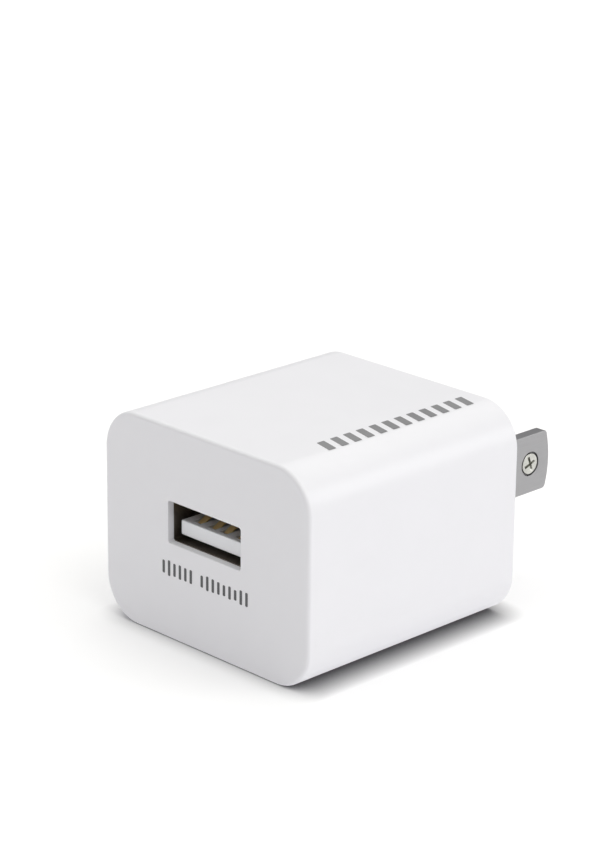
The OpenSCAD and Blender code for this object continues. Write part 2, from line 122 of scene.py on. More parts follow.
def piece_from(name, bm, smooth_angle=35):
    """Links a bmesh drawn in millimetres as a piece in metres, smooth except at edges over smooth_angle."""
    bmesh.ops.transform(bm, matrix=Matrix.Scale(MM, 4), verts=bm.verts)
    mesh = bpy.data.meshes.new(name)
    bm.to_mesh(mesh)
    bm.free()
    mesh.shade_smooth()
    mesh.set_sharp_from_angle(angle=math.radians(smooth_angle))
    piece = bpy.data.objects.new(name, mesh)
    bpy.context.scene.collection.objects.link(piece)
    return piece


def solid_mesh(holder):
    """An object's evaluated shape as a new plain mesh."""
    return bpy.data.meshes.new_from_object(
        holder.evaluated_get(bpy.context.evaluated_depsgraph_get())
    )


def loft(rings, closed=False):
    """A bmesh skin through rings of equal length. It closes on itself, or each end gets a face."""
    bm = bmesh.new()
    rows = [[bm.verts.new(p) for p in points] for points in rings]
    pairs = list(zip(rows, rows[1:])) + ([(rows[-1], rows[0])] if closed else [])
    for a, b in pairs:
        for k in range(len(a)):
            j = (k + 1) % len(a)
            bm.faces.new((a[k], a[j], b[j], b[k]))
    if not closed:
        bm.faces.new(rows[0])
        bm.faces.new(rows[-1])
    bmesh.ops.remove_doubles(bm, verts=bm.verts, dist=1e-5)
    bmesh.ops.recalc_face_normals(bm, faces=bm.faces)
    return bm


def soft_block(low, high, edge=0.15, segments=3):
    """A box with every edge rounded."""
    bm = bmesh.new()
    low, high = Vector(low), Vector(high)
    middle, size = (low + high) / 2, high - low
    sized = Matrix.Translation(middle) @ Matrix.Diagonal((*size, 1))
    bmesh.ops.create_cube(bm, size=1, matrix=sized)
    bmesh.ops.bevel(bm, geom=bm.edges, offset=edge, segments=segments, profile=0.5, affect="EDGES")
    return bm


def plate(outlines, thickness, edge, turn):
    """A flat plate with rounded edges. The first outline is its rim, the others are holes.

    It is drawn in X and Y round z = 0, then turned into place.
    """
    curve = bpy.data.curves.new("plate_outline", "CURVE")
    curve.dimensions = "2D"
    curve.fill_mode = "BOTH"
    curve.extrude = thickness / 2 - edge
    curve.bevel_depth = edge
    curve.bevel_resolution = 2
    curve.offset = -edge
    for points in outlines:
        spline = curve.splines.new("POLY")
        spline.points.add(len(points) - 1)
        for point, (x, y) in zip(spline.points, points):
            point.co = (x, y, 0, 1)
        spline.use_cyclic_u = True
    holder = bpy.data.objects.new("plate_outline", curve)
    bpy.context.scene.collection.objects.link(holder)
    mesh = solid_mesh(holder)
    bm = bmesh.new()
    bm.from_mesh(mesh)
    bpy.data.objects.remove(holder)
    bpy.data.meshes.remove(mesh)
    bmesh.ops.remove_doubles(bm, verts=bm.verts, dist=1e-4)
    bmesh.ops.transform(bm, matrix=turn, verts=bm.verts)
    bmesh.ops.recalc_face_normals(bm, faces=bm.faces)
    return bm


def add_to(bm, other, move=(0, 0, 0)):
    """Adds one bmesh to another as loose parts, and frees it."""
    bmesh.ops.transform(other, matrix=Matrix.Translation(move), verts=other.verts)
    mesh = bpy.data.meshes.new("part")
    other.to_mesh(mesh)
    other.free()
    bm.from_mesh(mesh)
    bpy.data.meshes.remove(mesh)


def carve(piece, cutters, smooth_angle=35):
    """Cuts bmeshes drawn in millimetres out of a piece."""
    for bm in cutters:
        cutter = piece_from("cutter", bm)
        cut = piece.modifiers.new("cut", "BOOLEAN")
        cut.operation = "DIFFERENCE"
        cut.solver = "EXACT"
        cut.object = cutter
        mesh = solid_mesh(piece)
        piece.modifiers.remove(cut)
        piece.data = mesh
        bpy.data.objects.remove(cutter)
    piece.data.shade_smooth()
    piece.data.set_sharp_from_angle(angle=math.radians(smooth_angle))


def even_shading(piece):
    """Large flat faces keep flat shading next to small rounded edges."""
    weighted = piece.modifiers.new("even_shading", "WEIGHTED_NORMAL")
    weighted.keep_sharp = True
    weighted.weight = 80


def place(piece, material, slot, *nodes, body=BODY):
    """Gives a piece its material and its body, and hides the nodes it stands for. The slot is not used."""
    piece.data.materials.clear()
    piece.data.materials.append(material)
    for polygon in piece.data.polygons:
        polygon.material_index = 0
    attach(piece, body)
    if nodes:
        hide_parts(*nodes)
    return piece


# ---------------------------------------------------------------- node wiring


def feed(tree, socket, value):
    """Links a socket from another one, or gives it a fixed value."""
    if isinstance(value, bpy.types.NodeSocket):
        tree.links.new(value, socket)
    else:
        socket.default_value = value


def add_node(tree, kind, inputs=(), **settings):
    """A new node. Its settings come first, then its inputs {name or number: value or socket}."""
    node = tree.nodes.new(kind)
    for name, value in settings.items():
        setattr(node, name, value)
    for label, value in dict(inputs).items():
        feed(tree, node.inputs[label], value)
    return node


def maths(tree, operation, *values):
    """The result of a Math node."""
    node = add_node(tree, "ShaderNodeMath", enumerate(values), operation=operation)
    return node.outputs["Value"]


def map_range(tree, value, source, target, interpolation="LINEAR"):
    """Maps one span of values onto another, and holds them inside it."""
    labels = ("Value", "From Min", "From Max", "To Min", "To Max")
    inputs = zip(labels, (value, *source, *target))
    node = add_node(tree, "ShaderNodeMapRange", inputs, interpolation_type=interpolation)
    return node.outputs["Result"]


def mix(tree, share, a, b, kind="FLOAT"):
    """From a to b as the share goes from 0 to 1."""
    node = add_node(tree, "ShaderNodeMix", {"Factor": share, "A": a, "B": b}, data_type=kind)
    return node.outputs["Result"]


def noise(tree, place_socket, scale, detail=2.0, output="Fac"):
    """A noise read at a place."""
    inputs = {"Vector": place_socket, "Scale": scale, "Detail": detail}
    return add_node(tree, "ShaderNodeTexNoise", inputs).outputs[output]


# ---------------------------------------------------------------- shared surface effects

NOISE_SPAN = (0.3, 0.7)
VECTOR, FLOAT = "NodeSocketVector", "NodeSocketFloat"


def effect_group(name, inputs, outputs):
    """An empty shader group with inputs {name: (type, default)} and float outputs."""
    group = bpy.data.node_groups.new(name, "ShaderNodeTree")
    for label, (kind, default) in inputs.items():
        socket = group.interface.new_socket(label, in_out="INPUT", socket_type=kind)
        if default is not None:
            socket.default_value = default
    for label in outputs:
        group.interface.new_socket(label, in_out="OUTPUT", socket_type=FLOAT)
    return group, group.nodes.new("NodeGroupInput").outputs, group.nodes.new("NodeGroupOutput")


def put_out(group, result, **values):
    """Sends values out of a group, height= to Height and so on."""
    for label, value in values.items():
        group.links.new(value, result.inputs[label.capitalize()])


def make_moulded_grain():
    """The fine spark-eroded grain of a moulding, and the faint mottle of its gloss."""
    group, given, result = effect_group(
        "moulded_grain",
        {
            "Place": (VECTOR, None),
            "Fineness": (FLOAT, 5000.0),
            "Least rough": (FLOAT, 0.4),
            "Most rough": (FLOAT, 0.5),
        },
        ["Height", "Roughness", "Tone"],
    )
    grain = noise(group, given["Place"], given["Fineness"], detail=3.0)
    mottle = noise(group, given["Place"], 260.0, detail=4.0)
    rough = map_range(group, mottle, NOISE_SPAN, (given["Least rough"], given["Most rough"]))
    put_out(group, result, height=grain, roughness=rough, tone=mottle)
    return group


def make_rolled_streaks():
    """The long fine lines that rolling leaves on sheet metal, and the faint stain over them."""
    group, given, result = effect_group(
        "rolled_streaks",
        {
            "Place": (VECTOR, None),
            "Along": (VECTOR, (1.0, 0.03, 1.0)),
            "Least rough": (FLOAT, 0.25),
            "Most rough": (FLOAT, 0.4),
        },
        ["Height", "Roughness", "Tone"],
    )
    stretched = add_node(
        group, "ShaderNodeVectorMath", {0: given["Place"], 1: given["Along"]}, operation="MULTIPLY"
    )
    lines = noise(group, stretched.outputs["Vector"], 9000.0, detail=4.0)
    stain = noise(group, given["Place"], 420.0, detail=3.0)
    rough = map_range(group, lines, NOISE_SPAN, (given["Least rough"], given["Most rough"]))
    put_out(group, result, height=lines, roughness=rough, tone=stain)
    return group


def make_handling_marks():
    """Sparse fine scuffs, as a mask from 0 to the given amount."""
    group, given, result = effect_group(
        "handling_marks", {"Place": (VECTOR, None), "Amount": (FLOAT, 0.35)}, ["Marks"]
    )
    bend, cell_scale, line_width = 0.004, 140.0, 0.012
    warp = noise(group, given["Place"], 90.0, output="Color")
    bent = add_node(
        group,
        "ShaderNodeVectorMath",
        {0: warp, 1: (bend, bend, bend), 2: given["Place"]},
        operation="MULTIPLY_ADD",
    )
    cells = add_node(
        group,
        "ShaderNodeTexVoronoi",
        {"Scale": cell_scale, "Vector": bent.outputs["Vector"]},
        feature="DISTANCE_TO_EDGE",
    )
    line = map_range(group, cells.outputs["Distance"], (0.0, line_width), (1.0, 0.0))
    where = noise(group, given["Place"], 200.0, detail=1.0)
    few = map_range(group, where, (0.55, 0.7), (0.0, 1.0))
    marks = maths(group, "MULTIPLY", maths(group, "MULTIPLY", line, few), given["Amount"])
    put_out(group, result, marks=marks)
    return group


def make_wire_turns():
    """Turns of enamelled wire wound round an upright axis: their height, also as a mask that paints shade
    into the grooves between turns.
    """
    group, given, result = effect_group(
        "wire_turns",
        {"Place": (VECTOR, None), "Turns per metre": (FLOAT, 4000.0)},
        ["Height", "Tone"],
    )
    # at scale 1 the texture has 10 / pi waves in a metre
    scale = maths(group, "MULTIPLY", given["Turns per metre"], math.pi / 10)
    wave = add_node(
        group,
        "ShaderNodeTexWave",
        {"Vector": given["Place"], "Scale": scale, "Distortion": 0.4, "Detail": 1.0},
        bands_direction="Z",
        wave_profile="SIN",
    )
    put_out(group, result, height=wave.outputs["Fac"], tone=wave.outputs["Fac"])
    return group


def make_board_tracks():
    """Copper tracks under a circuit board's lacquer, as a mask that is also their height."""
    group, given, result = effect_group(
        "board_tracks",
        {"Place": (VECTOR, None), "Track scale": (FLOAT, 260.0)},
        ["Height", "Tone"],
    )
    blocks = add_node(
        group,
        "ShaderNodeTexVoronoi",
        {"Vector": given["Place"], "Scale": given["Track scale"], "Randomness": 0.8},
        distance="CHEBYCHEV",
        feature="F1",
    )
    lines = maths(group, "PINGPONG", blocks.outputs["Distance"], 0.12)
    tracks = map_range(group, lines, (0.05, 0.07), (0.0, 1.0))
    put_out(group, result, height=tracks, tone=tracks)
    return group


MOULDED_GRAIN = make_moulded_grain()
ROLLED_STREAKS = make_rolled_streaks()
HANDLING_MARKS = make_handling_marks()
WIRE_TURNS = make_wire_turns()
BOARD_TRACKS = make_board_tracks()

# ---------------------------------------------------------------- finishes


class Finish:
    """A material being wired up round its Principled shader."""

    def __init__(self, name):
        self.material = bpy.data.materials.new(name)
        self.material.use_nodes = True
        self.tree = self.material.node_tree
        self.shader = self.tree.nodes["Principled BSDF"]
        self.coordinates = self.tree.nodes.new("ShaderNodeTexCoord").outputs

    def effect(self, group, **values):
        """Places a shared effect, reading the piece's own coordinates, and returns its outputs."""
        node = add_node(self.tree, "ShaderNodeGroup", node_tree=group)
        feed(self.tree, node.inputs["Place"], self.coordinates["Object"])
        for label, value in values.items():
            node.inputs[label.replace("_", " ").capitalize()].default_value = value
        return node.outputs

    def two_tone(self, mask, dark, light, low=0.35, high=0.65):
        """Colour between dark and light, by a mask between low and high."""
        ramp = add_node(self.tree, "ShaderNodeValToRGB", {"Fac": mask})
        for stop, position, colour in zip(ramp.color_ramp.elements, (low, high), (dark, light)):
            stop.position = position
            stop.color = (*colour, 1)
        self.tree.links.new(ramp.outputs["Color"], self.shader.inputs["Base Color"])

    def bump(self, height, depth_mm):
        """Relief of about the given depth from a height."""
        inputs = {"Height": height, "Distance": depth_mm * MM, "Strength": 0.5}
        node = add_node(self.tree, "ShaderNodeBump", inputs)
        self.tree.links.new(node.outputs["Normal"], self.shader.inputs["Normal"])

    def surface(self, roughness, metallic=0.0):
        """Roughness from a socket, and how metallic it is all over."""
        self.tree.links.new(roughness, self.shader.inputs["Roughness"])
        self.shader.inputs["Metallic"].default_value = metallic
        return self.material


def moulded(name, colour, rough=(0.4, 0.5), fineness=5000.0, relief=0.004, swing=0.015, marks=0.0):
    """Moulded plastic: a colour with a faint mottle, fine grain and perhaps scuffs."""
    finish = Finish(name)
    grain = finish.effect(
        MOULDED_GRAIN, fineness=fineness, least_rough=rough[0], most_rough=rough[1]
    )
    dark = [c * (1 - swing) for c in colour]
    light = [min(c * (1 + swing), 1) for c in colour]
    finish.two_tone(grain["Tone"], dark, light)
    finish.bump(grain["Height"], relief)
    roughness = grain["Roughness"]
    if marks:
        scuffs = finish.effect(HANDLING_MARKS, amount=marks)
        roughness = maths(finish.tree, "ADD", roughness, scuffs["Marks"])
    return finish.surface(roughness)


def metal(name, colour, rough=(0.25, 0.4), along=(1.0, 0.03, 1.0), swing=0.06, metallic=1.0):
    """Sheet metal or plate: rolled streaks, a faint stain and the colour of the plating."""
    finish = Finish(name)
    streaks = finish.effect(ROLLED_STREAKS, along=along, least_rough=rough[0], most_rough=rough[1])
    finish.two_tone(streaks["Tone"], [c * (1 - swing) for c in colour], colour)
    finish.bump(streaks["Height"], 0.002)
    return finish.surface(streaks["Roughness"], metallic)


def stamped(name, face_colour, edge_shade_colour):
    """Plated strip whose wide faces look along X, with painted shade making its narrow edges darker."""
    finish = Finish(name)
    streaks = finish.effect(
        ROLLED_STREAKS, along=(1.0, 0.03, 1.0), least_rough=0.32, most_rough=0.46
    )
    facing = add_node(
        finish.tree, "ShaderNodeSeparateXYZ", {"Vector": finish.coordinates["Normal"]}
    )
    # wide faces take the face colour, the narrow edges get painted shade
    unshaded_face_mask = maths(finish.tree, "ABSOLUTE", facing.outputs["X"])
    # a faint real stain, plus the painted shade on the narrow edges
    stain = maths(finish.tree, "MULTIPLY_ADD", streaks["Tone"], 0.12, unshaded_face_mask)
    finish.two_tone(stain, edge_shade_colour, face_colour, low=0.3, high=1.0)
    finish.bump(streaks["Height"], 0.002)
    return finish.surface(streaks["Roughness"], 1.0)


def wound(name, dark, light):
    """Enamelled wire wound in close turns, with painted shade darkening the grooves between them."""
    finish = Finish(name)
    turns = finish.effect(WIRE_TURNS, turns_per_metre=4000.0)
    finish.two_tone(turns["Tone"], dark, light, low=0.1, high=0.6)
    finish.bump(turns["Height"], 0.05)
    streaks = finish.effect(
        ROLLED_STREAKS, along=(1.0, 1.0, 0.05), least_rough=0.22, most_rough=0.34
    )
    return finish.surface(streaks["Roughness"], 0.9)


def lacquered_board(name, mask_green, track_green):
    """A fibreglass board with tracks showing faintly through its lacquer."""
    finish = Finish(name)
    tracks = finish.effect(BOARD_TRACKS, track_scale=260.0)
    finish.two_tone(tracks["Tone"], mask_green, track_green)
    finish.bump(tracks["Height"], 0.03)
    grain = finish.effect(MOULDED_GRAIN, fineness=9000.0, least_rough=0.22, most_rough=0.34)
    return finish.surface(grain["Roughness"])


WHITE_CASE = moulded("white_case", (0.76, 0.757, 0.782), rough=(0.31, 0.36), swing=0.004, marks=0.06)
WHITE_PLATE = moulded("white_plate", (0.76, 0.757, 0.782), rough=(0.44, 0.5), fineness=3500.0, swing=0.006)
SOCKET_PLASTIC = moulded("socket_plastic", (0.84, 0.85, 0.87), rough=(0.45, 0.55))
FRONT_INK = moulded("front_ink", (0.085, 0.085, 0.09), rough=(0.5, 0.6), swing=0.08)
TOP_INK = moulded("top_ink", (0.2, 0.2, 0.205), rough=(0.5, 0.6), swing=0.08)
# darker than plated nickel all over, its narrow edges darker still: painted shade
BLADE_NICKEL_PAINTED_SHADE = stamped("blade_nickel_painted_shade", (0.352, 0.35, 0.357), (0.23, 0.228, 0.232))
INSERT_NICKEL = metal("insert_nickel", (0.6, 0.6, 0.56), rough=(0.2, 0.3), along=(1.0, 1.0, 1.0), swing=0.2)
# darker and browner than plated steel: painted shade inside the socket
SHIELD_STEEL_PAINTED_SHADE = metal("shield_steel", (0.3, 0.265, 0.22), rough=(0.3, 0.45), swing=0.25)
CONTACT_GOLD = metal("contact_gold", (1.0, 0.76, 0.36), rough=(0.4, 0.52), metallic=0.4)
TINNED_BRASS = metal("tinned_brass", (0.72, 0.7, 0.64), rough=(0.3, 0.45), along=(1.0, 1.0, 0.05))
SOLDER_TIN = metal("solder_tin", (0.7, 0.71, 0.73), rough=(0.18, 0.42), along=(1.0, 1.0, 1.0), swing=0.15)
CAN_ALUMINIUM = metal("can_aluminium", (0.82, 0.83, 0.85), rough=(0.22, 0.36), along=(1.0, 1.0, 0.05))
CAN_SLEEVE = moulded("can_sleeve", (0.035, 0.038, 0.045), rough=(0.25, 0.36), swing=0.2)
RUBBER_BUNG = moulded("rubber_bung", (0.03, 0.028, 0.027), rough=(0.75, 0.9), fineness=2500.0, swing=0.2)
FERRITE = moulded(
    "ferrite", (0.045, 0.043, 0.045), rough=(0.38, 0.6), fineness=2200.0, relief=0.015, swing=0.3
)
BLACK_MOULDING = moulded(
    "black_moulding", (0.02, 0.02, 0.022), rough=(0.45, 0.62), fineness=3000.0, swing=0.2
)
WINDING_TAPE = moulded("winding_tape", (0.72, 0.5, 0.05), rough=(0.18, 0.28), fineness=1500.0, swing=0.1)
WHITE_PACKAGE = moulded("white_package", (0.7, 0.7, 0.66), rough=(0.5, 0.62), fineness=3500.0, swing=0.05)
BLUE_RESIN = moulded("blue_resin", (0.02, 0.1, 0.35), rough=(0.2, 0.34), fineness=1200.0, swing=0.15)
GREEN_RESIN = moulded("green_resin", (0.16, 0.3, 0.2), rough=(0.3, 0.45), fineness=1800.0, swing=0.12)
BLACK_SLEEVE = moulded("black_sleeve", (0.025, 0.025, 0.025), rough=(0.5, 0.65), fineness=2500.0, swing=0.2)
CHIP_CERAMIC = moulded("chip_ceramic", (0.42, 0.3, 0.2), rough=(0.35, 0.5), fineness=4000.0, swing=0.12)
FISH_PAPER = moulded(
    "fish_paper", (0.55, 0.5, 0.42), rough=(0.6, 0.75), fineness=1600.0, relief=0.012, swing=0.08
)
# the dark colour is painted shade in the grooves between turns
COPPER_WIRE = wound("copper_wire", (0.16, 0.05, 0.02), (0.75, 0.33, 0.14))
GREEN_BOARD = lacquered_board("green_board", (0.012, 0.11, 0.045), (0.03, 0.2, 0.075))

KEPT_NODES = {
    SHIELD_STEEL_PAINTED_SHADE: ["usb_shield", *[f"shield_spring_{n}" for n in range(1, 5)]],
    SOCKET_PLASTIC: ["usb_base"],
    CONTACT_GOLD: [f"contact_tail_{n}" for n in range(1, 5)],
    TINNED_BRASS: ["blade_terminal_right", "blade_terminal_left"],
    GREEN_BOARD: ["circuit_board"],
    FERRITE: ["transformer_core_upper", "transformer_core_lower", "choke_core"],
    BLACK_MOULDING: [
        "transformer_bobbin", "bridge_rectifier", "controller_chip", "schottky_diode", "chip_resistors"
    ],
    COPPER_WIRE: ["transformer_coil", "choke_winding"],
    WINDING_TAPE: ["transformer_tape"],
    SOLDER_TIN: ["transformer_pins", "capacitor_leads", "chip_terminals", "solder_joints"],
    CAN_ALUMINIUM: [f"{side}put_capacitor_{n}_can" for side in ("in", "out") for n in (1, 2)],
    CAN_SLEEVE: [f"{side}put_capacitor_{n}_sleeve" for side in ("in", "out") for n in (1, 2)],
    RUBBER_BUNG: ["capacitor_bungs"],
    WHITE_PACKAGE: ["optocoupler"],
    BLUE_RESIN: ["safety_capacitor"],
    GREEN_RESIN: ["fuse_resistor"],
    BLACK_SLEEVE: ["fuse_sleeve"],
    CHIP_CERAMIC: ["chip_capacitors"],
    FISH_PAPER: ["insulation_sheet"],
}


def finish_kept_nodes():
    """Gives every node that keeps its own shape its finish."""
    for material, nodes in KEPT_NODES.items():
        for node in nodes:
            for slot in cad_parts[node].material_slots:
                slot.material = material


# ---------------------------------------------------------------- case


def case_rings():
    """The case's whole section, from the socket window over the outside to the inside and back."""
    case = (CASE_W, CASE_H, CASE_R)

    def at_case(y, grow):
        return ring(*case, y, grow=grow)

    def at_window(y, grow):
        return ring(*WINDOW, y, z=SOCKET_Z, grow=grow)

    # support rings keep the flat faces flat next to the rounded edges
    window_edge, window_support, support = 0.1, 0.1, 0.35
    rings = [at_window(FRONT_Y + WINDOW_LIP, 0), at_window(FRONT_Y + window_edge + window_support, 0)]
    for x, y in arc((window_edge, window_edge), window_edge, 180, 270, 4):
        rings.append(at_window(FRONT_Y + y, x))
    rings.append(at_window(FRONT_Y, window_edge + support))
    rings.append(at_case(FRONT_Y, -FRONT_ROUND - support))
    for x, y in arc((-FRONT_ROUND, FRONT_ROUND), FRONT_ROUND, -90, 0, 8):
        rings.append(at_case(FRONT_Y + y, x))
    rings.append(at_case(FRONT_Y + FRONT_ROUND + support, 0))
    rings.append(at_case(-REAR_ROUND - support, 0))
    for x, y in arc((-REAR_ROUND, -REAR_ROUND), REAR_ROUND, 0, 90, 4):
        rings.append(at_case(y, x))
    for x, y in arc((-REBATE_WALL + REAR_ROUND, -REAR_ROUND), REAR_ROUND, 90, 180, 4):
        rings.append(at_case(y, x))
    rings.append(at_case(-REBATE_D, -REBATE_WALL))
    rings.append(at_case(-REBATE_D, -SIDE_WALL))
    rings.append(at_case(FRONT_Y + FRONT_WALL, -SIDE_WALL))
    rings.append(ring(*SHIELD_POCKET, FRONT_Y + FRONT_WALL, z=SOCKET_Z))
    rings.append(ring(*SHIELD_POCKET, FRONT_Y + WINDOW_LIP, z=SOCKET_Z))
    return rings


def board_rails():
    """The short rails that hold the board's edges, above and below it."""
    rail_w, rail_reach, rail_h, gap, weld = 1.8, 1.2, 1.0, 0.02, 0.01
    for side in (-1, 1):
        x = sorted((side * (INNER_X - rail_reach), side * (INNER_X + weld)))
        for y in RAIL_Y:
            for z in (board_low.z - rail_h - gap, board_high.z + gap):
                low, high = (x[0], y - rail_w / 2, z), (x[1], y + rail_w / 2, z + rail_h)
                yield soft_block(low, high, edge=0.12)


def snap_pockets():
    """Cutters for the two notches that the rear plate's tabs snap into."""
    reach, clear_y, clear_z = 0.6, 0.1, 0.05
    for x in (-INNER_X, INNER_X):
        low = (x - reach, TAB_Y[0] - clear_y, TAB_Z[0] - clear_z)
        high = (x + reach, TAB_Y[1] + clear_y, TAB_Z[1] + clear_z)
        yield soft_block(low, high, edge=0.08)


def make_case():
    """The case in one skin, with its snap notches cut and its board rails added."""
    piece = piece_from("case_body", loft(case_rings(), closed=True), smooth_angle=50)
    carve(piece, snap_pockets(), smooth_angle=50)
    whole = bmesh.new()
    whole.from_mesh(piece.data)
    bmesh.ops.transform(whole, matrix=Matrix.Scale(1 / MM, 4), verts=whole.verts)
    for rail in board_rails():
        add_to(whole, rail)
    bpy.data.objects.remove(piece)
    piece = piece_from("case_body", whole, smooth_angle=50)
    even_shading(piece)
    return place(piece, WHITE_CASE, "white_case", "main_shell")


# ---------------------------------------------------------------- rear plate

TO_XZ = Matrix.Rotation(math.radians(90), 4, "X")
TO_YZ = Matrix(((0, 0, 1, 0), (1, 0, 0, 0), (0, 1, 0, 0), (0, 0, 0, 1)))
PLATE_T = REBATE_D - 0.02
WELD = 0.2
SKIRT_W, SKIRT_H, SKIRT_R, SKIRT_T = CASE_W - 4.2, CASE_H - 4.2, 3.3, 1.0


def blade_slot(side, gap=0.05, corner_r=0.12):
    """The outline of a blade's slot, in X and Z."""
    size = (BLADE_T + 2 * gap, BLADE_W[side] + 2 * gap)
    return rounded_rect(*size, corner_r, (BLADE_X[side], 0), steps=3)


def make_skirt():
    """The wall behind the plate that fits inside the case, with its free edge rounded."""
    edge = 0.12
    y = cover_low.y + edge
    path = arc((-edge, y), edge, 0, -90, 3) + arc((edge - SKIRT_T, y), edge, -90, -180, 3)
    path += [(-SKIRT_T, WELD - PLATE_T), (0, WELD - PLATE_T)]
    return loft([ring(SKIRT_W, SKIRT_H, SKIRT_R, y, grow=x) for x, y in path], closed=True)


def add_collar(bm, side):
    """Adds the block on the plate's inside that a blade passes through."""
    width, margin, corner_r = 4.6, 1.5, 0.6
    height = BLADE_W[side] + 2 * margin
    block = rounded_rect(width, height, corner_r, (BLADE_X[side], 0), steps=6)
    depth = -cover_low.y - PLATE_T + WELD
    collar = plate([block, blade_slot(side)], depth, 0.1, TO_XZ)
    add_to(bm, collar, (0, cover_low.y + depth / 2, 0))


def add_snap_tab(bm, side):
    """Adds the tab on the skirt that snaps into the case's notch."""
    middle, reach = BLADE_SIDES[side] * SKIRT_W / 2, 0.5
    low, high = (middle - reach, TAB_Y[0], TAB_Z[0]), (middle + reach, TAB_Y[1], TAB_Z[1])
    add_to(bm, soft_block(low, high, edge=0.2))


def make_rear_plate():
    """The plate that closes the case, with its skirt, blade collars and snap tabs."""
    rim = rounded_rect(cover_high.x - cover_low.x, cover_high.z - cover_low.z, PLATE_R)
    bm = plate([rim, *(blade_slot(side) for side in BLADE_SIDES)], PLATE_T, 0.22, TO_XZ)
    bmesh.ops.transform(bm, matrix=Matrix.Translation((0, -PLATE_T / 2, 0)), verts=bm.verts)
    add_to(bm, make_skirt())
    for side in BLADE_SIDES:
        add_collar(bm, side)
        add_snap_tab(bm, side)
    piece = piece_from("rear_plate", bm, smooth_angle=40)
    even_shading(piece)
    return place(piece, WHITE_PLATE, "white_case", "rear_cover")


# ---------------------------------------------------------------- blades and their inserts

INSERT_HEAD_T = 0.45


def blade_outline(width):
    """A blade's outline in Y and Z: a stop inside the case, straight edges and a gently rounded end."""
    tip_y, tip_r, corner_r, stop = 18.1, 13.0, 0.6, 0.4
    root_y, stop_y = -8.1, -4.62
    half = width / 2
    corner_z = half - corner_r
    far_y = tip_y - tip_r
    corner_y = far_y + math.sqrt((tip_r - corner_r) ** 2 - corner_z**2)
    lean = math.degrees(math.atan2(corner_z, corner_y - far_y))
    points = [(root_y, -half - stop), (stop_y, -half - stop), (stop_y, -half)]
    points += arc((corner_y, -corner_z), corner_r, -90, -lean, 10)
    points += arc((far_y, 0), tip_r, -lean, lean, 16)[1:-1]
    points += arc((corner_y, corner_z), corner_r, lean, 90, 10)
    points += [(stop_y, half), (stop_y, half + stop), (root_y, half + stop)]
    return points


def hole_outline(r):
    """A circle in Y and Z about the middle of a blade's hole."""
    return arc((HOLE_Y, 0), r, 0, 360, 48)[:-1]


def make_blade(side):
    """An outlet blade, with a seat inside its hole behind the insert's head."""
    bm = plate([blade_outline(BLADE_W[side]), hole_outline(HOLE_D / 2)], BLADE_T, 0.1, TO_YZ)
    bmesh.ops.transform(bm, matrix=Matrix.Translation((BLADE_X[side], 0, 0)), verts=bm.verts)
    seat_r, overlap, clear = 1.17, 0.05, 0.1
    rims = [hole_outline(HOLE_D / 2 + overlap), hole_outline(seat_r)]
    seat = plate(rims, BLADE_T - INSERT_HEAD_T - clear, 0.03, TO_YZ)
    add_to(bm, seat, (BLADE_X[side] - BLADE_SIDES[side] * INSERT_HEAD_T / 2, 0, 0))
    piece = piece_from("outlet_blade_" + side, bm, smooth_angle=40)
    even_shading(piece)
    return place(piece, BLADE_NICKEL_PAINTED_SHADE, "nickel_blade", "blade_" + side)


def lathe(profile, centre, sign, steps=48):
    """A body turned about an X axis through centre. The profile is (distance outwards, radius)."""
    x, y, z = centre
    turn = [2 * math.pi * k / steps for k in range(steps)]
    return loft(
        [
            [Vector((x + sign * along, y + r * math.cos(a), z + r * math.sin(a))) for a in turn]
            for along, r in profile
        ]
    )


def cross_cutters(centre, sign, turned):
    """Two tapering wings that cut the insert's crossed recess, turned by some degrees."""
    # outwards from the face, half length, half width
    mouth = (0.2, 1.25, 0.22)
    bottom = (-0.5, 0.55, 0.102)
    for quarter in (0, 90):
        rows = [
            [Vector((along, sy * reach, sz * half)) for sy, sz in ((1, 1), (-1, 1), (-1, -1), (1, -1))]
            for along, reach, half in (mouth, bottom)
        ]
        wing = loft(rows)
        spin = Matrix.Rotation(math.radians(turned + quarter), 4, "X")
        flip = Matrix.Diagonal((sign, 1, 1, 1))
        bmesh.ops.transform(wing, matrix=Matrix.Translation(centre) @ flip @ spin, verts=wing.verts)
        bmesh.ops.recalc_face_normals(wing, faces=wing.faces)
        yield wing


def insert_profile():
    """An insert's half section, from its inner end over the head's rim to its domed middle."""
    half, sunk, pole_r = BLADE_T / 2, 0.02, 0.01
    head_r, shank_r, edge, rise, dome_steps = 1.375, 1.15, 0.08, 0.045, 7
    inner, under, rim = sunk - half, half - INSERT_HEAD_T, half - 0.05
    profile = [(inner, pole_r), (inner, shank_r - edge), (inner + edge, shank_r)]
    profile += [(under, shank_r), (under, head_r - 0.02), (under + 0.02, head_r), (rim - edge, head_r)]
    for degrees in (30, 60, 90):
        a = math.radians(degrees)
        profile.append((rim - edge + edge * math.sin(a), head_r - edge + edge * math.cos(a)))
    for k in range(1, dome_steps + 1):
        left = 1 - k / dome_steps
        profile.append((rim + rise * (1 - left**2), (head_r - edge) * left + pole_r))
    return profile


def make_insert(side):
    """The flush round insert with a crossed recess that fills a blade's hole."""
    sign = BLADE_SIDES[side]
    body = lathe(insert_profile(), (BLADE_X[side], HOLE_Y, 0), sign)
    piece = piece_from("blade_insert_" + side, body, smooth_angle=30)
    face = (BLADE_X[side] + sign * BLADE_T / 2, HOLE_Y, 0)
    carve(piece, cross_cutters(face, sign, turned=20), smooth_angle=30)
    return place(piece, INSERT_NICKEL, "nickel_screw", "blade_screw_" + side)


# ---------------------------------------------------------------- socket


